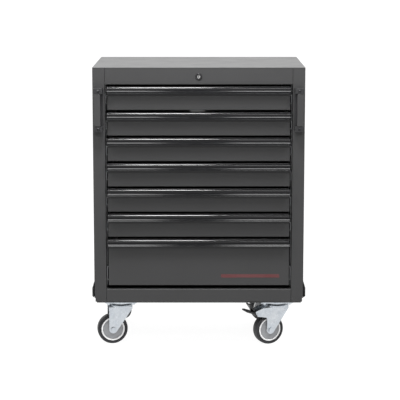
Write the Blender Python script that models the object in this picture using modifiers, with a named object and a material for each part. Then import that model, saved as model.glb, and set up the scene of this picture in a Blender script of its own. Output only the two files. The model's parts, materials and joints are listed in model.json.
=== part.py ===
"""Rolling tool chest: a steel cabinet with seven drawers, standing on four swivel casters.

Metres, +Z up, floor at Z = 0. The drawers open towards -Y, and X = 0 is the middle of the cabinet.
"""

import math

import bmesh
import bpy
from mathutils import Matrix, Vector

# Cabinet shell
WIDTH = 0.680
DEPTH = 0.460
TOP = 0.921
GRIP_REACH = 0.030
FRONT = -(DEPTH + GRIP_REACH) / 2 + GRIP_REACH
BACK = FRONT + DEPTH
HALF = WIDTH / 2
SHEET = 0.0015
MID = SHEET / 2
GAP = 0.0003
BEND = 0.0022
POST_WIDTH = 0.040
POST_RETURN = 0.025
POST_INNER = HALF - POST_WIDTH
REAR_FLANGE = 0.022
LID_THICKNESS = 0.0018
LID_FLANGE = 0.014
UNDER_LID = TOP - LID_THICKNESS - GAP

# Plinth, floor and the channels that carry the casters
PLINTH_BOTTOM = 0.157
PLINTH_TOP = 0.169
PLINTH_INSET = 0.003
FLOOR_BOTTOM = 0.167
CHANNEL_BOTTOM = 0.1452
CHANNEL_WIDTH = 0.094
CHANNEL_SHEET = 0.002
CHANNEL_HALF_LENGTH = 0.335

# Front opening and rails
OPENING_TOP = 0.866
OPENING_BOTTOM = 0.200
RAIL_HALF_LENGTH = POST_INNER - GAP

# Drawers: each is drawn from the middle of its front's top edge
DRAWER_TOP = 0.860
DRAWER_PITCH = 0.0826
SMALL_DRAWERS = 6
SMALL_FRONT = 0.075
BOTTOM_FRONT_END = 0.212
FRONT_HALF_WIDTH = 0.293
FRONT_RECESS = 0.0005
FRONT_RETURN = 0.0095
TRAY_HALF_WIDTH = 0.2852
TRAY_LENGTH = 0.411
TRAY_SHEET = 0.0012
TRAY_RIM_DROP = 0.022
TRAY_FLOOR_LIFT = 0.005
CATCH_HALF_WIDTH = 0.030
CATCH_DEPTH = 0.010

# Drawer slides
SLIDE_START = 0.010
SLIDE_LENGTH = 0.400
SMALL_SLIDE = 0.027
LARGE_SLIDE = 0.045
SMALL_SLIDE_DROP = 0.0415
LARGE_SLIDE_DROP = 0.1139
SLIDE_WEB = 0.29745
SLIDE_LIP = 0.288
RUNNER_WEB = 0.2857
RUNNER_LIP = 0.2937
BALL_SPACE = 0.0022
UPRIGHT_FACE = 0.2988
UPRIGHT_WIDTH = 0.030
UPRIGHT_TOP = 0.904

# Drawer handle: a hooked strip along the top of each front
HANDLE_SHEET = 0.0024
HANDLE_PATH = [
    (-0.0010, -0.0280),
    (-0.0010, -0.0012),
    (-0.0138, -0.0012),
    (-0.0135, -0.0125),
    (-0.0175, -0.0205),
]
HANDLE_BENDS = [0.0025, 0.0055, 0.0120]

# Upright grips on the posts
GRIP_BOTTOM = 0.717
GRIP_TOP = 0.857
GRIP_END = 0.0173
GRIP_OUTER = HALF - 0.006
GRIP_WIDTH = 0.028
GRIP_BASE = 0.004
GRIP_BAR_WIDTH = 0.021
GRIP_BAR_THICKNESS = 0.009

# Bumpers along the bottom of the sides
BUMPER_PATH = [(0.3409, 0.2210), (0.3437, 0.2040), (0.3437, 0.1722), (0.3409, 0.1722)]
BUMPER_SHEET = 0.0011
STRIP_LOW = 0.1735
STRIP_HIGH = 0.2035
STRIP_INNER = 0.3446
STRIP_OUTER = 0.3473

# Lock: a crank pin on the plug lifts the yoke of the lock bar
LOCK_HEIGHT = 0.8915
BEZEL_RADIUS = 0.011
BARREL_RADIUS = 0.009
PLUG_RADIUS = 0.0067
BARREL_LENGTH = 0.030
CRANK_RADIUS = 0.012
BAR_Y = 0.2065
BAR_SHEET = 0.003
BAR_WIDTH = 0.020
BAR_BOTTOM = 0.185
ARM_HEIGHT = 0.8820
YOKE_Y = -0.177
HOOK_REACH = 0.0150
HOOK_RISE = 0.0110
HOOK_BELOW_CATCH = 0.0145

# Casters, drawn from the floor under the swivel axis, with the wheel towards +X
CASTER_X = 0.257
CASTER_SETBACK = 0.080
TRAIL = 0.030
WHEEL_RADIUS = 0.050
TYRE_INNER = 0.0390
HUB_RADIUS = 0.0387
AXLE_RADIUS = 0.005
BORE_RADIUS = 0.0053
LEG_SHEET = 0.003
LEG_OUTER = 0.022
FORK_TOP = 0.1326
CROWN_RADIUS = 0.0395
CROWN_BOTTOM = 0.1270
KINGPIN_RADIUS = 0.006
PEDAL_PIVOT = (0.078, 0.108)
PEDAL_HALF_WIDTH = 0.018
PEDAL_PIN_RADIUS = 0.0025

TURN_STEPS = 24


# ---------------------------------------------------------------- scene and materials

for leftover in list(bpy.data.objects):
    bpy.data.objects.remove(leftover, do_unlink=True)

chest = bpy.data.collections.new("rolling_tool_chest")
helpers = bpy.data.collections.new("cutters")
for collection in (chest, helpers):
    bpy.context.scene.collection.children.link(collection)
helpers.hide_render = True


def material(name, colour, roughness, metallic):
    made = bpy.data.materials.new(name)
    made.use_nodes = True
    shader = made.node_tree.nodes["Principled BSDF"]
    shader.inputs["Base Color"].default_value = (*colour, 1.0)
    shader.inputs["Roughness"].default_value = roughness
    shader.inputs["Metallic"].default_value = metallic
    return made


GREY_PAINT = material("dark_grey_paint", (0.075, 0.075, 0.077), 0.42, 0.0)
GLOSS_BLACK = material("gloss_black_paint", (0.010, 0.010, 0.011), 0.14, 0.0)
BLACK_PLASTIC = material("black_plastic", (0.018, 0.018, 0.019), 0.50, 0.0)
ZINC = material("zinc_plate", (0.72, 0.74, 0.77), 0.28, 1.0)
LOCK_METAL = material("nickel_lock", (0.55, 0.55, 0.55), 0.25, 1.0)
TYRE_RUBBER = material("black_tyre", (0.020, 0.020, 0.021), 0.70, 0.0)
WHEEL_PLASTIC = material("white_wheel_plastic", (0.72, 0.72, 0.72), 0.40, 0.0)


# ---------------------------------------------------------------- making and joining shapes


def hide(obj):
    """Turns obj into a helper, which is never part of the chest."""
    for owner in list(obj.users_collection):
        owner.objects.unlink(obj)
    helpers.objects.link(obj)
    obj.hide_render = True
    obj.display_type = "WIRE"
    return obj


def object_from(bm, name):
    mesh = bpy.data.meshes.new(name)
    bm.to_mesh(mesh)
    bm.free()
    return hide(bpy.data.objects.new(name, mesh))


def box(name, low, high, bevel=0.0):
    bm = bmesh.new()
    size = [b - a for a, b in zip(low, high)]
    centre = [(a + b) / 2 for a, b in zip(low, high)]
    matrix = Matrix.Translation(centre) @ Matrix.Diagonal((*size, 1.0))
    bmesh.ops.create_cube(bm, size=1.0, matrix=matrix)
    if bevel:
        bmesh.ops.bevel(bm, geom=bm.edges[:], offset=bevel, segments=2, profile=0.5, affect="EDGES")
    return object_from(bm, name)


def open_box(name, low, high, open_towards, thickness, bevel=0.0):
    """A box of sheet metal that lacks one side. Its outline is the box's."""
    obj = box(name, low, high, bevel)
    bm = bmesh.new()
    bm.from_mesh(obj.data)
    side = [face for face in bm.faces if face.normal.dot(Vector(open_towards)) > 0.99]
    bmesh.ops.delete(bm, geom=side, context="FACES")
    bm.to_mesh(obj.data)
    bm.free()
    add_thickness(obj, thickness, -1.0)
    return obj


def add_thickness(obj, thickness, offset):
    solidify = obj.modifiers.new("thickness", "SOLIDIFY")
    solidify.thickness = thickness
    solidify.offset = offset
    solidify.use_even_offset = True


def rounded(path, radii, steps=2):
    """The open line through path, with an arc of each radius at each inner corner."""
    points = [Vector(point) for point in path]
    line = [points[0]]
    for before, corner, after, radius in zip(points, points[1:], points[2:], radii):
        into = (corner - before).normalized()
        out = (after - corner).normalized()
        turn = math.atan2(into.x * out.y - into.y * out.x, into.dot(out))
        reach = radius * math.tan(abs(turn) / 2)
        start = corner - into * reach
        side = Vector((-into.y, into.x)) * math.copysign(1, turn)
        centre = start + side * radius
        for step in range(steps + 1):
            angle = turn * step / steps
            spoke = Matrix.Rotation(angle, 2) @ (start - centre)
            line.append(centre + spoke)
    line.append(points[-1])
    return line


def across(point, height, along):
    """The 3-D point at height on the axis `along`, and at point on the other two, in X, Y, Z order."""
    a, b = point
    return {"X": (height, a, b), "Y": (a, height, b), "Z": (a, b, height)}[along]


def folded(name, path, start, end, along, thickness=SHEET, radii=None):
    """Sheet metal folded along path, the middle of its thickness, from start to end on one axis."""
    bm = bmesh.new()
    line = rounded(path, radii or [BEND] * (len(path) - 2))
    verts = [bm.verts.new(across(point, start, along)) for point in line]
    edges = [bm.edges.new(pair) for pair in zip(verts, verts[1:])]
    made = bmesh.ops.extrude_edge_only(bm, edges=edges)["geom"]
    far_side = [item for item in made if isinstance(item, bmesh.types.BMVert)]
    bmesh.ops.translate(bm, verts=far_side, vec=across((0, 0), end - start, along))
    obj = object_from(bm, name)
    add_thickness(obj, thickness, 0.0)
    return obj


def turned(name, profile, closed=True):
    """A turned piece about Z. The profile holds (radius, height), down its outer side."""
    bm = bmesh.new()
    verts = [bm.verts.new((radius, 0, height)) for radius, height in profile]
    pairs = list(zip(verts, verts[1:]))
    if closed:
        pairs.append((verts[-1], verts[0]))
    for pair in pairs:
        bm.edges.new(pair)
    obj = object_from(bm, name)
    screw = obj.modifiers.new("turn", "SCREW")
    screw.steps = screw.render_steps = TURN_STEPS
    screw.use_merge_vertices = True
    screw.merge_threshold = 0.00001
    return obj


def rod(name, start, end, radius, sides=TURN_STEPS):
    """A straight rod between two points."""
    start, end = Vector(start), Vector(end)
    bm = bmesh.new()
    turn = (end - start).to_track_quat("Z", "Y").to_matrix().to_4x4()
    matrix = Matrix.Translation((start + end) / 2) @ turn
    bmesh.ops.create_cone(
        bm,
        cap_ends=True,
        segments=sides,
        radius1=radius,
        radius2=radius,
        depth=(end - start).length,
        matrix=matrix,
    )
    return object_from(bm, name)


def outline(name, points, start, end):
    """A flat outline in X and Z, as thick as from start to end on Y."""
    curve = bpy.data.curves.new(name, "CURVE")
    curve.dimensions = "2D"
    curve.fill_mode = "BOTH"
    curve.extrude = (end - start) / 2
    spline = curve.splines.new("POLY")
    spline.points.add(len(points) - 1)
    for target, (x, z) in zip(spline.points, points):
        target.co = (x, z, 0, 1)
    spline.use_cyclic_u = True
    drawn = hide(bpy.data.objects.new(name, curve))
    upright = Matrix.Translation((0, (start + end) / 2, 0)) @ Matrix.Rotation(math.pi / 2, 4, "X")
    bm = bmesh.new()
    bm.from_mesh(baked(drawn))
    bmesh.ops.transform(bm, matrix=upright, verts=bm.verts)
    bmesh.ops.remove_doubles(bm, verts=bm.verts, dist=0.00001)
    bmesh.ops.recalc_face_normals(bm, faces=bm.faces)
    return object_from(bm, name)


def baked(obj):
    """The mesh of obj with its modifiers applied. The object is removed."""
    bpy.context.view_layer.update()
    evaluated = obj.evaluated_get(bpy.context.evaluated_depsgraph_get())
    mesh = bpy.data.meshes.new_from_object(evaluated)
    bpy.data.objects.remove(obj, do_unlink=True)
    return mesh


def combined(first, others, operation="UNION"):
    """The first object, with the others joined to it, cut from it or kept in common with it."""
    for other in others:
        boolean = first.modifiers.new(operation.lower(), "BOOLEAN")
        boolean.operation = operation
        boolean.object = other
    mesh = baked(first)
    for other in others:
        bpy.data.objects.remove(other, do_unlink=True)
    return hide(bpy.data.objects.new(mesh.name, mesh))


def smooth(mesh):
    mesh.shade_smooth()
    mesh.set_sharp_from_angle(angle=math.radians(35))


def part(name, mesh, paint, parent=None, location=(0, 0, 0), rotation=(0, 0, 0)):
    """A sub-part of the chest, from a finished mesh."""
    obj = bpy.data.objects.new(name, mesh)
    chest.objects.link(obj)
    obj.parent = parent
    obj.location = location
    obj.rotation_euler = rotation
    if not mesh.materials:
        mesh.materials.append(paint)
        smooth(mesh)
    return obj


def axis_empty(name, location, turn=0.0, parent=None):
    empty = bpy.data.objects.new(name, None)
    chest.objects.link(empty)
    empty.empty_display_size = 0.03
    empty.parent = parent
    empty.location = location
    empty.rotation_euler = (0, 0, turn)
    return empty


def mirrored_x(path, side):
    return [(side * x, other) for x, other in path]


SIDES = {"left": -1, "right": 1}


# ---------------------------------------------------------------- cabinet shell


def side_panel(side):
    """One sheet: the front face of the post, the side wall and the flange behind."""
    path = [
        (POST_INNER + MID, FRONT + POST_RETURN),
        (POST_INNER + MID, FRONT + MID),
        (HALF - MID, FRONT + MID),
        (HALF - MID, BACK - MID),
        (HALF - REAR_FLANGE, BACK - MID),
    ]
    return folded("side_panel", mirrored_x(path, side), PLINTH_TOP + GAP, UNDER_LID, "Z")


def front_post(side):
    """The channel that closes the post from behind."""
    clear = SHEET + GAP + MID
    rear = FRONT + POST_RETURN + 0.002
    inner = POST_INNER + clear
    outer = HALF - clear
    path = [(inner, rear - 0.0125), (inner, rear), (outer, rear), (outer, rear - 0.0125)]
    return folded("front_post", mirrored_x(path, side), PLINTH_TOP + 0.0005, UPRIGHT_TOP, "Z")


def top_panel():
    lid = box("top_panel", (-HALF, FRONT, TOP - LID_THICKNESS), (HALF, BACK, TOP), bevel=0.0007)
    reach = HALF - SHEET - GAP
    flanges = []
    for side in SIDES.values():
        ends = sorted((side * reach, side * (reach - SHEET)))
        low = (ends[0], FRONT + 0.010, UNDER_LID - LID_FLANGE)
        high = (ends[1], BACK - 0.010, TOP - LID_THICKNESS / 2)
        flanges.append(box("lid_flange", low, high))
    return combined(lid, flanges)


def back_panel():
    reach = HALF - 0.003
    rear = BACK - SHEET - GAP
    return box("back_panel", (-reach, rear - SHEET, PLINTH_TOP + 0.0005), (reach, rear, UNDER_LID))


def base_pan():
    """The plinth that shows below the sides, with the cabinet's floor."""
    outer = HALF - PLINTH_INSET - MID
    inner = POST_INNER + MID
    front = FRONT + MID
    rear = BACK - PLINTH_INSET - MID
    half = [(inner, FRONT + POST_RETURN), (inner, front), (outer, front), (outer, rear)]
    path = mirrored_x(half, -1) + half[::-1]
    plinth = folded("base_pan", path, PLINTH_BOTTOM, PLINTH_TOP, "Z")
    low = (-outer, FRONT + SHEET + 0.0005, FLOOR_BOTTOM)
    high = (outer, rear, FLOOR_BOTTOM + SHEET)
    return combined(plinth, [box("floor", low, high)])


def top_rail():
    path = [
        (FRONT + POST_RETURN, OPENING_TOP + MID),
        (FRONT + MID, OPENING_TOP + MID),
        (FRONT + MID, UNDER_LID),
    ]
    rail = folded("top_rail", path, -RAIL_HALF_LENGTH, RAIL_HALF_LENGTH, "X")
    start, end = (0, FRONT - 0.01, LOCK_HEIGHT), (0, FRONT + 0.01, LOCK_HEIGHT)
    return combined(rail, [rod("lock_hole", start, end, BARREL_RADIUS + 0.0005)], "DIFFERENCE")


def bottom_rail():
    back = FRONT + POST_RETURN
    path = [
        (back, OPENING_BOTTOM - MID),
        (FRONT + MID, OPENING_BOTTOM - MID),
        (FRONT + MID, PLINTH_BOTTOM + MID),
        (back, PLINTH_BOTTOM + MID),
    ]
    return folded("bottom_rail", path, -RAIL_HALF_LENGTH, RAIL_HALF_LENGTH, "X")


def base_channel(centre):
    """A channel across the cabinet, under its floor, that two casters bolt to."""
    half = (CHANNEL_WIDTH - CHANNEL_SHEET) / 2
    low = CHANNEL_BOTTOM + CHANNEL_SHEET / 2
    high = FLOOR_BOTTOM - GAP
    path = [(centre - half, high), (centre - half, low), (centre + half, low), (centre + half, high)]
    return folded("base_channel", path, -CHANNEL_HALF_LENGTH, CHANNEL_HALF_LENGTH, "X", CHANNEL_SHEET)


# ---------------------------------------------------------------- slides and drawers


def drawer_tops():
    return [DRAWER_TOP - number * DRAWER_PITCH for number in range(SMALL_DRAWERS + 1)]


def channel_path(web, lip, middle, height):
    """A C section: its web and its two lips, round a middle height."""
    half = (height - SHEET) / 2
    return [(lip, middle + half), (web, middle + half), (web, middle - half), (lip, middle - half)]


def slide_rack(side):
    """Two angle uprights and the seven fixed slide channels welded to them."""
    front_edge = FRONT + 0.030
    starts = [front_edge, FRONT + SLIDE_START + SLIDE_LENGTH - UPRIGHT_WIDTH - 0.015]
    uprights = []
    for start in starts:
        end = start + UPRIGHT_WIDTH
        path = [(UPRIGHT_FACE, start), (UPRIGHT_FACE, end), (HALF - 0.003, end)]
        uprights.append(folded("upright", mirrored_x(path, side), PLINTH_TOP + 0.0005, UPRIGHT_TOP, "Z"))
    slides = []
    for number, top in enumerate(drawer_tops()):
        large = number == SMALL_DRAWERS
        middle = top - (LARGE_SLIDE_DROP if large else SMALL_SLIDE_DROP)
        height = LARGE_SLIDE if large else SMALL_SLIDE
        path = channel_path(SLIDE_WEB, SLIDE_LIP, middle, height)
        start = FRONT + SLIDE_START
        end = start + SLIDE_LENGTH
        slides.append(folded("slide", mirrored_x(path, side), start, end, "Y", radii=[0.001] * 2))
    return combined(slides[0], slides[1:] + uprights)


def drawer_tray(front_height, slide_height, slide_drop):
    """The front pan, the tray, the two runners and the catch behind, as one welded piece."""
    pan = open_box(
        "drawer",
        (-FRONT_HALF_WIDTH, FRONT_RECESS, -front_height),
        (FRONT_HALF_WIDTH, FRONT_RETURN, 0),
        (0, 1, 0),
        TRAY_SHEET,
        bevel=0.0014,
    )
    floor = -front_height + TRAY_FLOOR_LIFT
    tray = open_box(
        "tray",
        (-TRAY_HALF_WIDTH, FRONT_RECESS + TRAY_SHEET / 2, floor),
        (TRAY_HALF_WIDTH, TRAY_LENGTH, -TRAY_RIM_DROP),
        (0, 0, 1),
        TRAY_SHEET,
    )
    catch = box(
        "catch",
        (-CATCH_HALF_WIDTH, TRAY_LENGTH - TRAY_SHEET, floor - CATCH_DEPTH),
        (CATCH_HALF_WIDTH, TRAY_LENGTH, floor + 0.001),
    )
    runner_height = slide_height - 2 * (SHEET + BALL_SPACE)
    pieces = [tray, catch]
    for side in SIDES.values():
        path = channel_path(RUNNER_WEB, RUNNER_LIP, -slide_drop, runner_height)
        start, end = SLIDE_START + 0.010, SLIDE_START + SLIDE_LENGTH - 0.002
        pieces.append(folded("runner", mirrored_x(path, side), start, end, "Y", radii=[0.001] * 2))
    return combined(pan, pieces)


def drawer_handle():
    half = FRONT_HALF_WIDTH
    return folded("handle", HANDLE_PATH, -half, half, "X", HANDLE_SHEET, HANDLE_BENDS)


# ---------------------------------------------------------------- grips, bumpers and lock


def grip_bracket(side):
    """The black backing strip with its two stand-offs, cut from one block."""
    ends = sorted((side * GRIP_OUTER, side * (GRIP_OUTER - GRIP_WIDTH)))
    front, back = FRONT - GRIP_REACH, FRONT - GAP
    block = box("grip_bracket", (ends[0], front, GRIP_BOTTOM), (ends[1], back, GRIP_TOP), bevel=0.0015)
    low = (ends[0] - 0.01, front - 0.01, GRIP_BOTTOM + GRIP_END)
    high = (ends[1] + 0.01, back - GRIP_BASE, GRIP_TOP - GRIP_END)
    return combined(block, [box("grip_space", low, high)], "DIFFERENCE")


def grip_bar(side):
    ends = sorted((side * GRIP_OUTER, side * (GRIP_OUTER - GRIP_BAR_WIDTH)))
    front = FRONT - GRIP_REACH + 0.0007
    low = (ends[0], front, GRIP_BOTTOM + GRIP_END + GAP)
    high = (ends[1], front + GRIP_BAR_THICKNESS, GRIP_TOP - GRIP_END - GAP)
    return box("grip_bar", low, high, bevel=0.0020)


def bumper(side):
    path = mirrored_x(BUMPER_PATH, side)
    return folded("bumper", path, FRONT + 0.0005, BACK - 0.0005, "Y", BUMPER_SHEET, [0.001] * 2)


def bumper_strip(side):
    ends = sorted((side * STRIP_INNER, side * STRIP_OUTER))
    low, high = (ends[0], FRONT + 0.004, STRIP_LOW), (ends[1], BACK - 0.004, STRIP_HIGH)
    return box("bumper_strip", low, high, bevel=0.0009)


def lock_housing():
    """Bezel and barrel, turned, with the axis on Z and the bezel at the top."""
    profile = [
        (PLUG_RADIUS + 0.0003, 0.0024),
        (BEZEL_RADIUS - 0.0012, 0.0024),
        (BEZEL_RADIUS, 0.0012),
        (BEZEL_RADIUS, GAP),
        (BARREL_RADIUS, GAP),
        (BARREL_RADIUS, -BARREL_LENGTH),
        (PLUG_RADIUS + 0.0003, -BARREL_LENGTH),
    ]
    return turned("lock_housing", profile)


def lock_cylinder():
    """The plug with its key slot in front and its crank and pin behind, on the Y axis."""
    crank_front = BARREL_LENGTH + 0.0010
    crank_back = crank_front + 0.0025
    plug = rod("lock_cylinder", (0, -0.0018, 0), (0, crank_back, 0), PLUG_RADIUS)
    crank = box("crank", (-0.006, crank_front, -0.0055), (CRANK_RADIUS + 0.004, crank_back, 0.0055))
    pin_start = (CRANK_RADIUS, crank_front + 0.001, 0)
    pin_end = (CRANK_RADIUS, crank_back + 0.0085, 0)
    pin = rod("pin", pin_start, pin_end, 0.002, 16)
    joined = combined(plug, [crank, pin])
    slot = box("key_slot", (-0.0009, -0.01, -0.0042), (0.0009, 0.0030, 0.0042))
    return combined(joined, [slot], "DIFFERENCE")


def lock_bar():
    """The lift bar behind the drawers, its arm under the lid, its yoke and its seven hooks."""
    path = [(BAR_Y, BAR_BOTTOM), (BAR_Y, ARM_HEIGHT), (YOKE_Y, ARM_HEIGHT), (YOKE_Y, LOCK_HEIGHT + 0.011)]
    half = BAR_WIDTH / 2
    bar = folded("lock_bar", path, -half, half, "X", BAR_SHEET, [0.004, 0.004])
    yoke_half = BAR_SHEET / 2 + GAP
    low = (-0.014, YOKE_Y - yoke_half, LOCK_HEIGHT - 0.0125)
    high = (0.026, YOKE_Y + yoke_half, LOCK_HEIGHT + 0.0125)
    yoke = box("yoke", low, high)
    hooks = []
    for number, top in enumerate(drawer_tops()):
        front_height = top - BOTTOM_FRONT_END if number == SMALL_DRAWERS else SMALL_FRONT
        catch_end = top - front_height + TRAY_FLOOR_LIFT - CATCH_DEPTH
        height = catch_end - HOOK_BELOW_CATCH
        path = [(BAR_Y, height), (BAR_Y - HOOK_REACH, height), (BAR_Y - HOOK_REACH, height + HOOK_RISE)]
        hooks.append(folded("hook", path, -half + 0.002, half - 0.002, "X", BAR_SHEET, [0.0025]))
    joined = combined(bar, [yoke] + hooks)
    slot = box("yoke_slot", (-0.006, -0.2, LOCK_HEIGHT - 0.005), (0.018, -0.16, LOCK_HEIGHT + 0.005))
    return combined(joined, [slot], "DIFFERENCE")


# ---------------------------------------------------------------- casters


def arc(centre, radius, start, end, steps):
    """Points on an arc in X and Z, between two angles in degrees."""
    points = []
    for step in range(steps + 1):
        angle = math.radians(start + (end - start) * step / steps)
        points.append((centre[0] + radius * math.cos(angle), centre[1] + radius * math.sin(angle)))
    return points


def caster_plate():
    """The bolted plate with its upper race and the kingpin that holds the fork."""
    bm = bmesh.new()
    matrix = Matrix.Translation((0, 0, 0.14325)) @ Matrix.Diagonal((0.105, 0.085, 0.0033, 1.0))
    bmesh.ops.create_cube(bm, size=1.0, matrix=matrix)
    corners = [edge for edge in bm.edges if abs(edge.verts[0].co.z - edge.verts[1].co.z) > 0.001]
    bmesh.ops.bevel(bm, geom=corners, offset=0.009, segments=4, profile=0.5, affect="EDGES")
    plate = object_from(bm, "caster_plate")
    profile = [
        (0, 0.1420),
        (0.0350, 0.1420),
        (0.0350, 0.1372),
        (0.0335, 0.1354),
        (KINGPIN_RADIUS, 0.1354),
        (KINGPIN_RADIUS, 0.1240),
        (0.0100, 0.1240),
        (0.0100, 0.1210),
        (0.0085, 0.1200),
        (0, 0.1200),
    ]
    return combined(plate, [turned("race", profile, closed=False)])


def caster_fork(braked):
    """A fork pressed from one sheet: crown, two legs and, on a braked caster, two arms for the pedal."""
    middle = LEG_OUTER - LEG_SHEET / 2
    high = FORK_TOP - LEG_SHEET / 2
    path = [(-middle, 0.030), (-middle, high), (middle, high), (middle, 0.030)]
    sheet = folded("fork", path, -0.045, 0.095, "X", LEG_SHEET, [0.006] * 2)
    foot = arc((TRAIL, WHEEL_RADIUS), 0.0135, 0, -152, 6)
    if braked:
        arm = [(0.030, 0.135), (0.0835, 0.1165), (0.0855, 0.1135), (0.0790, 0.1010), (0.0755, 0.0985)]
        arm.append((0.0465, 0.0930))
        edge = [(-0.034, 0.135), *arm, (TRAIL + 0.0135, 0.0870), *foot, (-0.034, 0.1190)]
    else:
        edge = [(-0.034, 0.135), (TRAIL + 0.0135, 0.135), *foot, (-0.034, 0.1190)]
    side_view = outline("side_view", edge, -0.030, 0.030)
    fork = combined(sheet, [side_view], "INTERSECT")
    crown = turned(
        "crown",
        [
            (0, FORK_TOP - 0.0002),
            (CROWN_RADIUS - 0.001, FORK_TOP - 0.0002),
            (CROWN_RADIUS, FORK_TOP - 0.0012),
            (CROWN_RADIUS, CROWN_BOTTOM + 0.001),
            (CROWN_RADIUS - 0.002, CROWN_BOTTOM),
            (0, CROWN_BOTTOM),
        ],
        closed=False,
    )
    pieces = [crown]
    if braked:
        x, z = PEDAL_PIVOT
        reach = LEG_OUTER + 0.001
        pieces.append(rod("pedal_pin", (x, -reach, z), (x, reach, z), PEDAL_PIN_RADIUS, 12))
    fork = combined(fork, pieces)
    holes = [
        rod("kingpin_hole", (0, 0, 0.11), (0, 0, 0.15), KINGPIN_RADIUS + 0.0004, 16),
        rod("axle_hole", (TRAIL, -0.04, WHEEL_RADIUS), (TRAIL, 0.04, WHEEL_RADIUS), BORE_RADIUS, 16),
    ]
    return combined(fork, holes, "DIFFERENCE")


def caster_axle():
    """The wheel bolt, with its head and its nut, about the wheel's centre."""
    shank = rod("axle", (0, -0.026, 0), (0, 0.026, 0), AXLE_RADIUS, 16)
    ends = []
    for side in (-1, 1):
        start = side * (LEG_OUTER + GAP)
        ends.append(rod("bolt_end", (0, start, 0), (0, start + side * 0.0050, 0), 0.0085, 6))
    return combined(shank, ends)


def caster_hub():
    half = [
        (BORE_RADIUS, 0.0170),
        (0.0115, 0.0170),
        (0.0125, 0.0115),
        (0.0325, 0.0115),
        (0.0340, 0.0148),
        (HUB_RADIUS, 0.0148),
    ]
    return turned("hub", half + [(radius, -height) for radius, height in half[::-1]])


def caster_tyre():
    half = [
        (TYRE_INNER, 0.0150),
        (0.0420, 0.0160),
        (0.0455, 0.0157),
        (0.0482, 0.0134),
        (0.0496, 0.0085),
        (WHEEL_RADIUS, 0.0030),
    ]
    return turned("tyre", half + [(radius, -height) for radius, height in half[::-1]])


def tongue(start, end, thickness, half_width):
    """A flat tongue in X and Z between two points, rounded at its far end."""
    direction = (Vector(end) - Vector(start)).normalized()
    side = Vector((-direction.y, direction.x)) * thickness / 2
    angle = math.degrees(math.atan2(direction.y, direction.x))
    tip = arc(end, thickness / 2, angle - 90, angle + 90, 4)
    points = [tuple(Vector(start) - side), *tip, tuple(Vector(start) + side)]
    return outline("tongue", points, -half_width, half_width)


def brake_pedal():
    """The rocker: press the lower tongue to brake, the upper one to release."""
    x, z = PEDAL_PIVOT
    boss = rod("pedal", (x, -PEDAL_HALF_WIDTH, z), (x, PEDAL_HALF_WIDTH, z), 0.0085, 16)
    wide = PEDAL_HALF_WIDTH
    lower = tongue((x, z - 0.002), (0.114, 0.1190), 0.0065, wide)
    upper = tongue((x + 0.002, z), (0.1010, 0.1385), 0.0055, wide - 0.003)
    shoe = tongue((x, z), (0.0690, 0.0965), 0.0060, wide - 0.004)
    pedal = combined(boss, [lower, upper, shoe])
    bore = rod("pedal_bore", (x, -0.03, z), (x, 0.03, z), PEDAL_PIN_RADIUS + 0.0003, 12)
    return combined(pedal, [bore], "DIFFERENCE")


# ---------------------------------------------------------------- assembly


def build_shell():
    for name, side in SIDES.items():
        part(f"side_panel_{name}", baked(side_panel(side)), GREY_PAINT)
        part(f"front_post_{name}", baked(front_post(side)), GREY_PAINT)
        part(f"slide_rack_{name}", baked(slide_rack(side)), ZINC)
        part(f"grip_bracket_{name}", baked(grip_bracket(side)), BLACK_PLASTIC)
        part(f"grip_bar_{name}", baked(grip_bar(side)), GREY_PAINT)
        part(f"bumper_{name}", baked(bumper(side)), GREY_PAINT)
        part(f"bumper_strip_{name}", baked(bumper_strip(side)), BLACK_PLASTIC)
    for make in (top_panel, back_panel, base_pan, top_rail, bottom_rail):
        part(make.__name__, baked(make()), GREY_PAINT)


def build_drawers():
    handle = baked(drawer_handle())
    small = baked(drawer_tray(SMALL_FRONT, SMALL_SLIDE, SMALL_SLIDE_DROP))
    tops = drawer_tops()
    large = baked(drawer_tray(tops[-1] - BOTTOM_FRONT_END, LARGE_SLIDE, LARGE_SLIDE_DROP))
    for number, top in enumerate(tops, 1):
        tray = large if number == len(tops) else small
        drawer = part(f"drawer_{number}_tray", tray, GREY_PAINT, location=(0, FRONT, top))
        part(f"drawer_{number}_handle", handle, GLOSS_BLACK, parent=drawer)


def build_lock():
    place = (0, FRONT, LOCK_HEIGHT)
    part("lock_housing", baked(lock_housing()), LOCK_METAL, location=place, rotation=(math.pi / 2, 0, 0))
    part("lock_cylinder", baked(lock_cylinder()), LOCK_METAL, location=place)
    part("lock_bar", baked(lock_bar()), ZINC)


def build_casters():
    plate = baked(caster_plate())
    forks = {False: baked(caster_fork(False)), True: baked(caster_fork(True))}
    axle, hub, tyre = baked(caster_axle()), baked(caster_hub()), baked(caster_tyre())
    pedal = baked(brake_pedal())
    rows = {"front": FRONT + CASTER_SETBACK, "rear": BACK - CASTER_SETBACK}
    # How far each fork is turned from trailing straight to the left.
    turns = {"front_left": 11, "front_right": 23, "rear_left": -58, "rear_right": 9}
    for row, y in rows.items():
        part(f"base_channel_{row}", baked(base_channel(y)), GREY_PAINT)
        for name, side in SIDES.items():
            corner = f"{row}_{name}"
            braked = name == "right"
            place = (side * CASTER_X, y, 0)
            part(f"caster_{corner}_plate", plate, ZINC, location=place)
            swivel = axis_empty(f"{corner}_swivel", place, math.radians(180 + turns[corner]))
            part(f"caster_{corner}_fork", forks[braked], ZINC, parent=swivel)
            centre = axis_empty(f"{corner}_wheel_axis", (TRAIL, 0, WHEEL_RADIUS), parent=swivel)
            part(f"caster_{corner}_axle", axle, ZINC, parent=centre)
            part(f"caster_{corner}_hub", hub, WHEEL_PLASTIC, parent=centre, rotation=(math.pi / 2, 0, 0))
            part(f"caster_{corner}_tyre", tyre, TYRE_RUBBER, parent=centre, rotation=(math.pi / 2, 0, 0))
            if braked:
                part(f"caster_{corner}_pedal", pedal, BLACK_PLASTIC, parent=swivel)


build_shell()
build_drawers()
build_lock()
build_casters()
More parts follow.
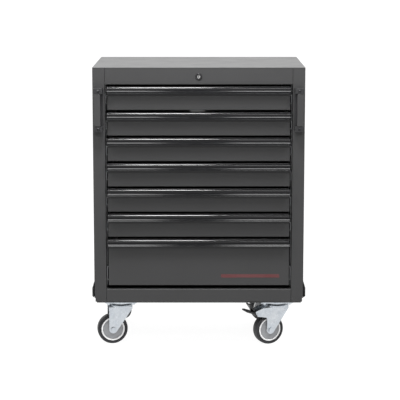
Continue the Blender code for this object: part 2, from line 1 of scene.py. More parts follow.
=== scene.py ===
# %% [markdown]
# # A rolling tool chest in powder coat, zinc and rubber
# The chest arrives as a finished engineering model: every panel, drawer and caster is already in its
# place and already knows how it moves. This notebook gives it its looks. It loads that model as a fixed
# frame, paints each part with a finish built from shader nodes, and adds the pieces that only matter to
# the eye, such as drawer handles with a true rolled section, ribbed liners, screws, balls and turned
# wheels.

# %% Load the fixed frame
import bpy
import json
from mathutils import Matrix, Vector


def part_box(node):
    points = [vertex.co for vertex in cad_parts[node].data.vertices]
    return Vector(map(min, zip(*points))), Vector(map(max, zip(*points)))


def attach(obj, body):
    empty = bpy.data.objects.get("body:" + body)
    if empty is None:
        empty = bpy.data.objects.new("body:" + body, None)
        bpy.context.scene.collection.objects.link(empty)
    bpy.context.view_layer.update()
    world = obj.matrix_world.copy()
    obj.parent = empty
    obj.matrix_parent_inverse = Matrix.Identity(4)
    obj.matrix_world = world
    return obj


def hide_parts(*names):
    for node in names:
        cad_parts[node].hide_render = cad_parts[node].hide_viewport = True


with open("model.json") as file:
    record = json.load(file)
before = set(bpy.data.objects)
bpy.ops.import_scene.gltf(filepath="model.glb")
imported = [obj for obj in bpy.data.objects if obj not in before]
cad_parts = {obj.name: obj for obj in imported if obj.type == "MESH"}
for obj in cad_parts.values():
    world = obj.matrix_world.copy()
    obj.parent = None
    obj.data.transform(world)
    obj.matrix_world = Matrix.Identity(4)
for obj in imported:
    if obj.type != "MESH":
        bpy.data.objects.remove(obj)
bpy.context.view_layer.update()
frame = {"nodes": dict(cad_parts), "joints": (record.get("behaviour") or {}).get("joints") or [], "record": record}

# %% [markdown]
# ## Tools for the bench
# Everything below uses Blender's own modules. `bmesh` builds meshes by hand, `mathutils` does the vector
# work, and the small helpers that follow turn a finished bmesh into an object that rides on one body of
# the frame.

# %% Import the modelling modules
import json
import math

import bmesh
import bpy
from mathutils import Matrix, Vector

SIDES = {"left": -1, "right": 1}
CORNERS = ("front_left", "front_right", "rear_left", "rear_right")
BRAKED = ("front_right", "rear_right")
DRAWERS = range(1, 8)
joints = {joint["name"]: joint for joint in frame["joints"]}
print("joints:", ", ".join(sorted(joints)))

# %% [markdown]
# ## Reading the chest's main sizes
# The frame tells where things are, so no size is typed twice. The lid covers the whole body, so its
# box gives the front, back and top planes that later pieces are placed against.

# %% Measure the frame
lid_low, lid_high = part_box("top_panel")
FRONT = lid_low.y
BACK = lid_high.y
HALF = lid_high.x
TOP = lid_high.z
print(f"body {2 * HALF:.3f} x {BACK - FRONT:.3f} m, top at {TOP:.3f} m")

# %% [markdown]
# ## The camera
# The camera stands well back with a long lens, a little above the top of the chest. The lens is given in
# millimetres for a 36 mm sensor. A slight downward shift of the sensor lets the camera tilt less, which
# keeps the cabinet's sides close to parallel.

# %% Place the camera
CAMERA_DISTANCE = 4.8
CAMERA_HEIGHT = 1.314
CAMERA_TILT = math.radians(8.79)
camera_data = bpy.data.cameras.new("studio_camera")
camera_data.sensor_width = 36.0
camera_data.lens = 135.8
camera_data.shift_y = -0.06
camera_data.clip_end = 100.0
camera = bpy.data.objects.new("studio_camera", camera_data)
camera.location = (0.0039, FRONT - CAMERA_DISTANCE, CAMERA_HEIGHT)
camera.rotation_euler = (math.pi / 2 - CAMERA_TILT, 0, 0)
bpy.context.scene.collection.objects.link(camera)
bpy.context.scene.camera = camera
print("camera at", tuple(round(value, 3) for value in camera.location))

# %% [markdown]
# ## The floor and the light
# A white studio is one pale sheet on the floor, air that glows softly, and a few lamps. The sheet comes
# first.

# %% Lay the studio floor
floor_mesh = bpy.data.meshes.new("studio_floor")
floor_bm = bmesh.new()
bmesh.ops.create_grid(floor_bm, x_segments=1, y_segments=1, size=30.0)
floor_bm.to_mesh(floor_mesh)
floor_bm.free()
studio_floor = bpy.data.objects.new("studio_floor", floor_mesh)
bpy.context.scene.collection.objects.link(studio_floor)

print("floor:", [round(side, 1) for side in studio_floor.dimensions])

# %% [markdown]
# ## The air of the studio
# Gloss black only looks black when there is something dark for it to mirror. So the room is bright behind
# the chest, where the camera looks and the lid glances, and dim on the camera's side. The world takes
# that from the direction's own Y value, with a soft change between the two.

# %% Fill the room with air
BRIGHT_AIR = 1.3
DIM_AIR = 0.13
world = bpy.data.worlds.new("studio_air")
world.use_nodes = True
air = world.node_tree
direction = air.nodes.new("ShaderNodeTexCoord")
split = air.nodes.new("ShaderNodeSeparateXYZ")
fade = air.nodes.new("ShaderNodeMapRange")
fade.interpolation_type = "SMOOTHSTEP"
fade.inputs["From Min"].default_value = 0.0
fade.inputs["From Max"].default_value = 0.6
fade.inputs["To Min"].default_value = DIM_AIR
fade.inputs["To Max"].default_value = BRIGHT_AIR
air.links.new(direction.outputs["Generated"], split.inputs["Vector"])
air.links.new(split.outputs["Y"], fade.inputs["Value"])
air.links.new(fade.outputs["Result"], air.nodes["Background"].inputs["Strength"])
air.nodes["Background"].inputs["Color"].default_value = (1.0, 1.0, 1.0, 1.0)
bpy.context.scene.world = world
bpy.context.scene.view_settings.view_transform = "Standard"
print("air: bright", BRIGHT_AIR, "dim", DIM_AIR)


# %% [markdown]
# ## Softboxes
# Area lamps stand in for softboxes, and each is aimed at a point on the chest. The strong one overhead
# draws the bright line along each black handle. A weak pair in front and a stronger pair high at the
# sides light the drawer fronts. A wide lamp close by gives a soft edge; its energy is in watts.

# %% Hang the softboxes
def softbox(name, place, target, width, height, watts):
    lamp = bpy.data.lights.new(name, "AREA")
    lamp.shape = "RECTANGLE"
    lamp.size = width
    lamp.size_y = height
    lamp.energy = watts
    obj = bpy.data.objects.new(name, lamp)
    obj.location = place
    aim = Vector(target) - Vector(place)
    obj.rotation_euler = aim.to_track_quat("-Z", "Y").to_euler()
    bpy.context.scene.collection.objects.link(obj)
    return obj


softbox("overhead_box", (-0.15, FRONT - 0.75, 2.55), (-0.12, FRONT - 0.05, 0.6), 0.40, 0.50, 88)
softbox("left_box", (-0.40, FRONT - 1.7, 1.56), (-0.2, FRONT, 0.5), 0.45, 0.45, 9)
softbox("right_box", (0.36, FRONT - 1.7, 1.56), (0.2, FRONT, 0.5), 0.45, 0.45, 9)
for side_name, side in SIDES.items():
    high_place, high_target = (side * 1.1, FRONT - 0.9, 2.0), (side * 0.15, FRONT, 0.85)
    softbox(f"high_box_{side_name}", high_place, high_target, 0.50, 0.50, 28)


# %% [markdown]
# ## How a finish is built
# A real surface is never one flat number. Each finish starts as a Principled shader and gets two kinds of
# detail: a slow drift in colour and roughness over the whole sheet, and a fine bump. Both come from noise
# on Object coordinates, so the scale is in real metres: a noise scale of 500 makes features two
# millimetres across.

# %% A small kit for shader nodes
def new_finish(name, colour, roughness, metallic=0.0):
    """A material with its tree, its Principled shader and its Object coordinates."""
    made = bpy.data.materials.new(name)
    made.use_nodes = True
    nodes = made.node_tree.nodes
    shader = nodes["Principled BSDF"]
    shader.inputs["Base Color"].default_value = (*colour, 1.0)
    shader.inputs["Roughness"].default_value = roughness
    shader.inputs["Metallic"].default_value = metallic
    place = nodes.new("ShaderNodeTexCoord")
    return made, shader, place.outputs["Object"]


def noise(material, coordinates, scale, detail=2.0, stretch=None):
    """A noise texture at a scale in features per metre, stretched along an axis if asked."""
    tree = material.node_tree
    if stretch:
        mapping = tree.nodes.new("ShaderNodeMapping")
        mapping.inputs["Scale"].default_value = stretch
        tree.links.new(coordinates, mapping.inputs["Vector"])
        coordinates = mapping.outputs["Vector"]
    texture = tree.nodes.new("ShaderNodeTexNoise")
    texture.inputs["Scale"].default_value = scale
    texture.inputs["Detail"].default_value = detail
    tree.links.new(coordinates, texture.inputs["Vector"])
    return texture.outputs["Fac"]


def spread(material, value, low, high, start=0.3, end=0.7):
    """The noise value, moved from its usual start and end to the range low to high."""
    tree = material.node_tree
    ranged = tree.nodes.new("ShaderNodeMapRange")
    for socket, number in (("From Min", start), ("From Max", end), ("To Min", low), ("To Max", high)):
        ranged.inputs[socket].default_value = number
    tree.links.new(value, ranged.inputs["Value"])
    return ranged.outputs["Result"]


def tint(material, value, dark, light):
    """A colour that runs from dark to light with the value."""
    tree = material.node_tree
    mix = tree.nodes.new("ShaderNodeMix")
    mix.data_type = "RGBA"
    colour_a, colour_b = [socket for socket in mix.inputs if socket.type == "RGBA"]
    colour_a.default_value = (*dark, 1.0)
    colour_b.default_value = (*light, 1.0)
    tree.links.new(value, mix.inputs["Factor"])
    return [socket for socket in mix.outputs if socket.type == "RGBA"][0]


def bump(material, shader, height, depth):
    """A bump of this depth in metres, added over any bump already on the shader."""
    tree = material.node_tree
    node = tree.nodes.new("ShaderNodeBump")
    node.inputs["Strength"].default_value = 1.0
    node.inputs["Distance"].default_value = depth
    tree.links.new(height, node.inputs["Height"])
    if shader.inputs["Normal"].is_linked:
        tree.links.new(shader.inputs["Normal"].links[0].from_socket, node.inputs["Normal"])
    tree.links.new(node.outputs["Normal"], shader.inputs["Normal"])


def join(material, output, shader, socket):
    material.node_tree.links.new(output, shader.inputs[socket])


print("shader helpers ready")


# %% [markdown]
# ## Satin powder coat
# The cabinet is dark grey powder coat, baked on as a slightly lumpy satin skin that painters call orange
# peel. Two sizes of noise make it: lumps about two millimetres wide, and a finer tooth on top. A faint
# drift in tone and in gloss keeps large panels from looking like a fill colour.

# %% Mix the powder coat
def powder_coat(name, shade, roughness):
    dark = tuple(shade * ratio * 0.95 for ratio in (1.0, 1.0, 1.02))
    light = tuple(shade * ratio * 1.05 for ratio in (1.0, 1.0, 1.02))
    made, shader, place = new_finish(name, light, roughness)
    shader.inputs["Specular IOR Level"].default_value = 0.32
    drift = spread(made, noise(made, place, 5.0, 3.0), 0.0, 1.0)
    join(made, tint(made, drift, dark, light), shader, "Base Color")
    sheen_drift = spread(made, noise(made, place, 14.0, 3.0), roughness - 0.02, roughness + 0.02)
    join(made, sheen_drift, shader, "Roughness")
    bump(made, shader, noise(made, place, 480.0, 1.0), 0.00005)
    bump(made, shader, noise(made, place, 1900.0, 1.0), 0.00001)
    return made


grey_coat = powder_coat("grey_powder_coat", 0.024, 0.36)
print("mixed", grey_coat.name)


# %% [markdown]
# ## Gloss black for the handles
# The handles are smoother and far glossier than the cabinet, so they mirror the softboxes as thin bright
# lines. Near-black paint with a low roughness does this. The bump is very shallow, or the lines would
# break up.

# %% Mix the gloss black
def gloss_black(name):
    made, shader, place = new_finish(name, (0.005, 0.005, 0.0055), 0.12)
    shader.inputs["Specular IOR Level"].default_value = 0.28
    drift = spread(made, noise(made, place, 60.0, 3.0), 0.10, 0.15)
    join(made, drift, shader, "Roughness")
    bump(made, shader, noise(made, place, 900.0, 1.0), 0.0000015)
    return made


handle_black = gloss_black("handle_gloss_black")
print("mixed", handle_black.name)


# %% [markdown]
# ## Moulded plastic and rubber
# Black mouldings have a fine spark-eroded grain. Tyre rubber is duller and a little dusty, with a grain
# that is coarser and softer. The same recipe serves both with other numbers, and also the pale plastic of
# the wheels.

# %% Mix plastics and rubbers
def moulding(name, colour, roughness, grain_scale, grain_depth, dust=0.0, gleam=0.5):
    made, shader, place = new_finish(name, colour, roughness)
    shader.inputs["Specular IOR Level"].default_value = gleam
    dusty = tuple(channel + dust for channel in colour)
    drift = spread(made, noise(made, place, 25.0, 5.0), 0.0, 1.0, 0.35, 0.75)
    join(made, tint(made, drift, colour, dusty), shader, "Base Color")
    wear = spread(made, noise(made, place, 90.0), roughness - 0.06, roughness + 0.06)
    join(made, wear, shader, "Roughness")
    bump(made, shader, noise(made, place, grain_scale, 2.0), grain_depth)
    return made


black_plastic = moulding(
    "black_grained_plastic", (0.009, 0.009, 0.010), 0.46, 1500.0, 0.00003, 0.004, gleam=0.3
)
pedal_plastic = moulding(
    "pedal_plastic", (0.010, 0.010, 0.011), 0.38, 1200.0, 0.00002, 0.005, gleam=0.4
)
tyre_rubber = moulding("tyre_rubber", (0.010, 0.010, 0.012), 0.55, 700.0, 0.00005, 0.008, gleam=0.4)
liner_rubber = moulding("liner_rubber", (0.022, 0.022, 0.023), 0.75, 900.0, 0.00005, 0.012)
white_plastic = moulding("white_wheel_plastic", (0.74, 0.74, 0.74), 0.38, 900.0, 0.00002, 0.03)
grey_plastic = moulding("grey_disc_plastic", (0.235, 0.24, 0.25), 0.42, 900.0, 0.00002, 0.02)
print("mixed six mouldings")


# %% [markdown]
# ## Bright zinc
# The casters and slides are plated steel. Zinc is a pale metal with a cool cast, slightly cloudy where
# the bath left crystals, and drawn lines where the sheet was rolled. Cloudiness goes into colour and
# roughness, and the rolling lines are noise stretched fifty times along one axis. The slides' zinc is
# mixed far darker than the casters': painted shade, because the slides sit in the dark gaps beside the drawers.

# %% Mix the metals
def plated(name, cool, warm, roughness, rolling=(1.0, 0.02, 1.0)):
    made, shader, place = new_finish(name, cool, roughness, metallic=1.0)
    clouds = spread(made, noise(made, place, 45.0, 5.0), 0.0, 1.0)
    join(made, tint(made, clouds, cool, warm), shader, "Base Color")
    haze = spread(made, noise(made, place, 120.0, 3.0), roughness - 0.06, roughness + 0.10)
    join(made, haze, shader, "Roughness")
    bump(made, shader, noise(made, place, 1400.0, 2.0, stretch=rolling), 0.000015)
    return made


bright_zinc = plated("bright_zinc", (0.46, 0.495, 0.535), (0.55, 0.575, 0.60), 0.30)
# The slides' zinc is far darker than real zinc: painted shade for the dark side gaps they sit in.
slide_zinc = plated("slide_zinc", (0.17, 0.18, 0.19), (0.24, 0.24, 0.24), 0.36)
nickel = plated("satin_nickel", (0.55, 0.55, 0.54), (0.66, 0.66, 0.65), 0.24)
black_oxide = plated("black_oxide_screw", (0.030, 0.030, 0.032), (0.045, 0.045, 0.046), 0.36)
print("mixed four metals")

# %% [markdown]
# ## Two small accents
# A narrow red bar is painted low on the bottom drawer. The floor is white paper on a light table: a
# little of its own light lifts it to the white of the air, so no horizon shows.

# %% Mix the accent paint and the floor
red_paint = moulding("red_accent_paint", (0.062, 0.009, 0.010), 0.42, 600.0, 0.00002, 0.01)
floor_paper = moulding("floor_paper", (0.12, 0.12, 0.12), 0.80, 30.0, 0.0001, 0.01)
paper_shader = floor_paper.node_tree.nodes["Principled BSDF"]
paper_shader.inputs["Emission Color"].default_value = (1.0, 1.0, 1.0, 1.0)
paper_shader.inputs["Emission Strength"].default_value = 0.93
floor_mesh.materials.append(floor_paper)
print("accent and floor ready")

# %% [markdown]
# ## Painting the frame's own parts
# Each part carries the name of its material slot in the record, so the whole cabinet can be painted with
# one table.

# %% Paint every part by its slot
FINISHES = {
    "grey_paint": grey_coat,
    "gloss_black": handle_black,
    "black_plastic": black_plastic,
    "pedal_black": pedal_plastic,
    "zinc": bright_zinc,
    # The slides get the dark zinc, with its painted shade.
    "slide_zinc": slide_zinc,
    "lock_metal": nickel,
    "tyre_rubber": tyre_rubber,
    "wheel_plastic": white_plastic,
}
for subpart in frame["record"]["subparts"]:
    node = frame["nodes"][subpart["node"]]
    node.data.materials.clear()
    node.data.materials.append(FINISHES[subpart["material_slot"]])


# %% [markdown]
# ## From a bmesh to a riding piece
# A piece is finished when its normals point outwards, its curved faces are smooth, and it rides on a
# body. The last helper keeps that in one place. A piece's object stays at the origin, because its place
# is in its mesh.

# %% Finish a piece
def finished(name, mesh, body, finish, crease=32.0):
    """A riding object for the mesh, smooth except across creases of more than `crease` degrees."""
    mesh.name = name
    if not mesh.materials:
        mesh.materials.append(finish)
    mesh.shade_smooth()
    mesh.set_sharp_from_angle(angle=math.radians(crease))
    obj = bpy.data.objects.new(name, mesh)
    bpy.context.scene.collection.objects.link(obj)
    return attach(obj, body)


def mesh_of(bm, name):
    bmesh.ops.remove_doubles(bm, verts=bm.verts, dist=0.000002)
    bmesh.ops.recalc_face_normals(bm, faces=bm.faces)
    mesh = bpy.data.meshes.new(name)
    bm.to_mesh(mesh)
    bm.free()
    return mesh


print("piece helpers ready")


# %% [markdown]
# ## Turning on a lathe
# Wheels, discs and rings are profiles spun about an axis. The profile is a list of radius and height
# pairs, and an open profile that starts and ends on the axis makes a solid disc.

# %% Spin a profile
def turned(profile, steps=96, closed=True):
    """A bmesh of the profile spun about Z."""
    bm = bmesh.new()
    verts = [bm.verts.new((radius, 0, height)) for radius, height in profile]
    pairs = list(zip(verts, verts[1:]))
    if closed:
        pairs.append((verts[-1], verts[0]))
    edges = [bm.edges.new(pair) for pair in pairs]
    bmesh.ops.spin(
        bm, geom=verts + edges, cent=(0, 0, 0), axis=(0, 0, 1), angle=math.tau, steps=steps, use_merge=True
    )
    bmesh.ops.remove_doubles(bm, verts=bm.verts, dist=0.000002)
    return bm


def arc(centre, radius, start, end, steps):
    """Points on an arc between two angles in degrees, counted anticlockwise from the first axis."""
    points = []
    for step in range(steps + 1):
        angle = math.radians(start + (end - start) * step / steps)
        points.append((centre[0] + radius * math.cos(angle), centre[1] + radius * math.sin(angle)))
    return points


print("lathe ready")


# %% [markdown]
# ## Geometry Nodes for everything that repeats
# Screws, balls and ribs repeat by the dozen. Each gets a node tree with named inputs, so its sizes can be
# read and changed like a drawing. A tree is applied to an empty mesh, evaluated once, and turned into a
# plain mesh.

# %% Helpers for node trees
def new_tree(name, sizes):
    """A Geometry Nodes tree with a float or whole-number input for each size."""
    tree = bpy.data.node_groups.new(name, "GeometryNodeTree")
    for size, default in sizes.items():
        kind = "NodeSocketInt" if isinstance(default, int) else "NodeSocketFloat"
        socket = tree.interface.new_socket(size, in_out="INPUT", socket_type=kind)
        socket.default_value = default
    tree.interface.new_socket("Geometry", in_out="OUTPUT", socket_type="NodeSocketGeometry")
    source = tree.nodes.new("NodeGroupInput")
    return tree, source


def add(tree, kind, links=None, **values):
    """A node in the tree, with its inputs linked or set by name, and its other settings given as words."""
    node = tree.nodes.new(kind)
    for setting, value in values.items():
        setattr(node, setting, value)
    for socket, value in (links or {}).items():
        if isinstance(value, bpy.types.NodeSocket):
            tree.links.new(value, node.inputs[socket])
        else:
            node.inputs[socket].default_value = value
    return node


def copies(tree, points, shape):
    """A copy of the shape on every point."""
    return add(tree, "GeometryNodeInstanceOnPoints", {"Points": points, "Instance": shape}).outputs[0]


def end_tree(tree, geometry, finish):
    """Ends the tree in Realize Instances and Set Material."""
    real = add(tree, "GeometryNodeRealizeInstances", {"Geometry": geometry})
    painted = add(tree, "GeometryNodeSetMaterial", {"Geometry": real.outputs[0], "Material": finish})
    output = tree.nodes.new("NodeGroupOutput")
    tree.links.new(painted.outputs[0], output.inputs[0])


def grown(tree, sizes):
    """A plain mesh grown by the tree, with its inputs set by their identifiers."""
    host = bpy.data.objects.new("host", bpy.data.meshes.new("host"))
    bpy.context.scene.collection.objects.link(host)
    modifier = host.modifiers.new("grow", "NODES")
    modifier.node_group = tree
    for item in tree.interface.items_tree:
        if item.in_out == "INPUT" and item.name in sizes:
            modifier[item.identifier] = sizes[item.name]
    bpy.context.view_layer.update()
    evaluated = host.evaluated_get(bpy.context.evaluated_depsgraph_get())
    mesh = bpy.data.meshes.new_from_object(evaluated)
    bpy.data.objects.remove(host, do_unlink=True)
    return mesh


print("node tree helpers ready")


# %% [markdown]
# ## A grid of fasteners
# A screw head is a short turned dome with a recess, a bolt head is a six-sided prism and a ball is a
# sphere. Screws and bolts are set out on a flat grid and balls in a line, so each tree only does the
# setting out and takes the head as an object. The grid lies in X and Y and the heads stand along Z; a
# matrix then carries the whole pattern to its place.

# %% Build the grid tree
def grid_tree(name, head, finish):
    """Copies of the head object on a grid of columns and rows."""
    sizes = {"Columns": 2, "Rows": 2, "Length": 0.1, "Width": 0.1}
    tree, source = new_tree(name, sizes)
    grid = add(
        tree,
        "GeometryNodeMeshGrid",
        {
            "Size X": source.outputs["Length"],
            "Size Y": source.outputs["Width"],
            "Vertices X": source.outputs["Columns"],
            "Vertices Y": source.outputs["Rows"],
        },
    )
    points = add(tree, "GeometryNodeMeshToPoints", {"Mesh": grid.outputs[0]})
    shape = add(tree, "GeometryNodeObjectInfo", {"Object": head})
    end_tree(tree, copies(tree, points.outputs[0], shape.outputs["Geometry"]), finish)
    return tree


def line_tree(name, head, finish):
    """Copies of the head object in one straight line along X."""
    tree, source = new_tree(name, {"Count": 8, "Length": 0.1})
    half = add(tree, "ShaderNodeMath", {0: source.outputs["Length"], 1: 0.5}, operation="MULTIPLY")
    back = add(tree, "ShaderNodeMath", {0: half.outputs[0], 1: -1.0}, operation="MULTIPLY")
    first = add(tree, "ShaderNodeCombineXYZ", {"X": back.outputs[0]})
    last = add(tree, "ShaderNodeCombineXYZ", {"X": half.outputs[0]})
    line = add(
        tree,
        "GeometryNodeMeshLine",
        {"Count": source.outputs["Count"], "Start Location": first.outputs[0], "Offset": last.outputs[0]},
        mode="END_POINTS",
    )
    shape = add(tree, "GeometryNodeObjectInfo", {"Object": head})
    end_tree(tree, copies(tree, line.outputs[0], shape.outputs["Geometry"]), finish)
    return tree


print("setting-out trees ready")


# %% [markdown]
# ## Heads for the fasteners
# These are patterns for the trees to copy, kept out of the render. They have few faces because they are
# copied many times. Screws and rivets are domes with a small round recess. On a screw it stands for the
# drive, and on a rivet for the dimple that the broken mandrel leaves.

# %% Make the fastener patterns
def pattern(name, bm):
    obj = bpy.data.objects.new(name, mesh_of(bm, name))
    obj.data.shade_smooth()
    obj.data.set_sharp_from_angle(angle=math.radians(30))
    bpy.context.scene.collection.objects.link(obj)
    obj.hide_render = True
    return obj


def button_head(radius, height, recess, sides):
    """A domed head with a round-bottomed recess, standing on Z = 0."""
    dome = [(0, height * 0.45), (recess * 0.8, height * 0.5), (recess, height)]
    dome += [(radius * 0.72, height * 0.94), (radius * 0.93, height * 0.55), (radius, 0.0), (0, 0.0)]
    return turned(dome, steps=sides, closed=False)


def hex_head(radius, height):
    """A six-sided bolt head with a chamfered top on a washer, standing on Z = 0 and pointing to +Z."""
    washer = [(0, 0.0), (radius * 1.25, 0.0), (radius * 1.25, 0.0012), (0, 0.0012)]
    bm = turned(washer, steps=20, closed=False)
    corner = [(0, 0.0012), (radius, 0.0012), (radius, height * 0.86), (radius * 0.88, height), (0, height)]
    prism = turned(corner, steps=6, closed=False)
    holder = mesh_of(prism, "prism")
    bm.from_mesh(holder)
    bpy.data.meshes.remove(holder)
    return bm


screw_pattern = pattern("screw_pattern", button_head(0.0042, 0.0020, 0.0019, 14))
rivet_pattern = pattern("rivet_pattern", button_head(0.0032, 0.0011, 0.0011, 12))
bolt_pattern = pattern("bolt_pattern", hex_head(0.0066, 0.0060))
ball_bm = bmesh.new()
bmesh.ops.create_icosphere(ball_bm, subdivisions=2, radius=1.0)
ball_pattern = pattern("ball_pattern", ball_bm)
print("patterns:", screw_pattern.name, rivet_pattern.name, bolt_pattern.name, ball_pattern.name)


# %% [markdown]
# ## The handle's section
# Each drawer has a rolled metal handle along its whole width. Its back lies flat on the drawer's front,
# the top turns forward in a tight roll, and the lip hangs down in front with a hollow face that flares
# out at the bottom for the fingers. The section is one centre line with a thickness, so the wall is even
# everywhere.

# %% Draw the handle's section
HANDLE_WALL = 0.0024
HANDLE_LINE = [
    (-0.0010, -0.0280),
    (-0.0010, -0.0012),
    (-0.0138, -0.0012),
    (-0.0135, -0.0135),
    (-0.0175, -0.0205),
]
HANDLE_BENDS = [0.0025, 0.0044, 0.0200]


def filleted(path, radii, steps):
    """The line through path with each inner corner rounded to its radius."""
    points = [Vector(point) for point in path]
    line = [points[0]]
    for before, corner, after, radius in zip(points, points[1:], points[2:], radii):
        into, out = (corner - before).normalized(), (after - corner).normalized()
        turn = math.atan2(into.x * out.y - into.y * out.x, into.dot(out))
        start = corner - into * radius * math.tan(abs(turn) / 2)
        centre = start + Vector((-into.y, into.x)) * math.copysign(radius, turn)
        for step in range(steps + 1):
            line.append(centre + Matrix.Rotation(turn * step / steps, 2) @ (start - centre))
    return line + [points[-1]]


def walled(line, wall):
    """The closed outline of a wall round a centre line, with round ends."""
    normals = []
    for index in range(len(line)):
        run = line[min(index + 1, len(line) - 1)] - line[max(index - 1, 0)]
        normals.append(Vector((-run.y, run.x)).normalized())
    half = wall / 2
    outer = [point + normal * half for point, normal in zip(line, normals)]
    inner = [point - normal * half for point, normal in zip(line, normals)]

    def cap(centre, start):
        turns = [Matrix.Rotation(-math.pi * step / 6, 2) for step in range(1, 6)]
        return [centre + turn @ (start - centre) for turn in turns]

    return outer + cap(line[-1], outer[-1]) + inner[::-1] + cap(line[0], inner[0])


handle_section = walled(filleted(HANDLE_LINE, HANDLE_BENDS, 8), HANDLE_WALL)
print("handle section:", len(handle_section), "points")


# %% [markdown]
# ## Sweeping the handles
# A section that runs along a straight line is the simplest sweep: Curve to Mesh carries the section curve
# from one end of the line to the other and closes both ends. The tree's one size is the handle's length.
# The seven handles are alike, so the mesh is grown once and copied to each drawer.

# %% Sweep one handle and fit it to every drawer
def section_curve(name, outline):
    """A closed curve object in X and Y."""
    data = bpy.data.curves.new(name, "CURVE")
    data.dimensions = "2D"
    spline = data.splines.new("POLY")
    spline.points.add(len(outline) - 1)
    for target, (x, y) in zip(spline.points, outline):
        target.co = (x, y, 0, 1)
    spline.use_cyclic_u = True
    obj = bpy.data.objects.new(name, data)
    bpy.context.scene.collection.objects.link(obj)
    obj.hide_render = True
    return obj


def sweep_tree(name, section, finish):
    """The section swept along a line on Z, half the length to each side."""
    tree, source = new_tree(name, {"Length": 0.5})
    half = add(tree, "ShaderNodeMath", {0: source.outputs["Length"], 1: 0.5}, operation="MULTIPLY")
    back = add(tree, "ShaderNodeMath", {0: half.outputs[0], 1: -1.0}, operation="MULTIPLY")
    first = add(tree, "ShaderNodeCombineXYZ", {"Z": back.outputs[0]})
    last = add(tree, "ShaderNodeCombineXYZ", {"Z": half.outputs[0]})
    line = add(tree, "GeometryNodeCurvePrimitiveLine", {"Start": first.outputs[0], "End": last.outputs[0]})
    shape = add(tree, "GeometryNodeObjectInfo", {"Object": section})
    swept = add(
        tree,
        "GeometryNodeCurveToMesh",
        {"Curve": line.outputs[0], "Profile Curve": shape.outputs["Geometry"], "Fill Caps": True},
    )
    end_tree(tree, swept.outputs[0], finish)
    return tree


section_object = section_curve("handle_section", handle_section)
handle_low, handle_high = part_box("drawer_1_handle")
handle_tree = sweep_tree("handle_sweep", section_object, handle_black)
handle_mesh = grown(handle_tree, {"Length": handle_high.x - handle_low.x})
print("handle:", len(handle_mesh.polygons), "faces")


# %% [markdown]
# ## Fitting the handles
# The section was drawn flat, with its first axis running back from the drawer's front and its second
# running up. The matrix below stands it upright and lays its length across the chest. Each handle
# replaces the plain one of the frame and rides on its own drawer.

# %% Place a handle on every drawer
UPRIGHT = Matrix(((0, 0, 1, 0), (1, 0, 0, 0), (0, 1, 0, 0), (0, 0, 0, 1)))


def placed_copy(mesh, name, matrix):
    """A copy of the mesh with the matrix worked into it."""
    copy = mesh.copy()
    copy.name = name
    copy.transform(matrix)
    if matrix.is_negative:
        copy.flip_normals()
    return copy


for number in DRAWERS:
    handle_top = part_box(f"drawer_{number}_handle")[1].z
    place = Matrix.Translation((0, FRONT, handle_top)) @ UPRIGHT
    name, body = f"drawer_{number}_rolled_handle", f"drawer_{number}"
    handle = finished(name, placed_copy(handle_mesh, name, place), body, handle_black)
    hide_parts(f"drawer_{number}_handle")
print("fitted", len(DRAWERS), "handles; the first spans", [round(side, 4) for side in handle.dimensions])

# %% [markdown]
# ## Feeling for a surface
# Some pieces lie on a face that has no name, such as a tray's floor. A ray shot at the part finds the
# exact spot, the way a surface gauge does, so the piece lands on real material.

# %% Shoot a ray at a part
from mathutils.bvhtree import BVHTree


def surface(node, start, direction):
    """The first point where a ray from the start meets the part."""
    mesh = frame["nodes"][node].data
    points = [vertex.co for vertex in mesh.vertices]
    faces = [tuple(polygon.vertices) for polygon in mesh.polygons]
    return BVHTree.FromPolygons(points, faces).ray_cast(Vector(start), Vector(direction))[0]


floors = {}
for number in DRAWERS:
    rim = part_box(f"drawer_{number}_tray")[1].z
    floors[number] = surface(f"drawer_{number}_tray", (0.1, 0, rim), (0, 0, -1)).z
print("tray floors:", {number: round(height, 4) for number, height in floors.items()})


# %% [markdown]
# ## Ribbed drawer liners
# Mechanics line drawers with a rubber mat whose ribs stop sockets from rolling. It is one sheet with ribs
# from front to back at an even pitch. The tree makes the sheet and one rib, and sets the ribs out along a
# line; the rib count, the rib's height and the sheet's size are its inputs.

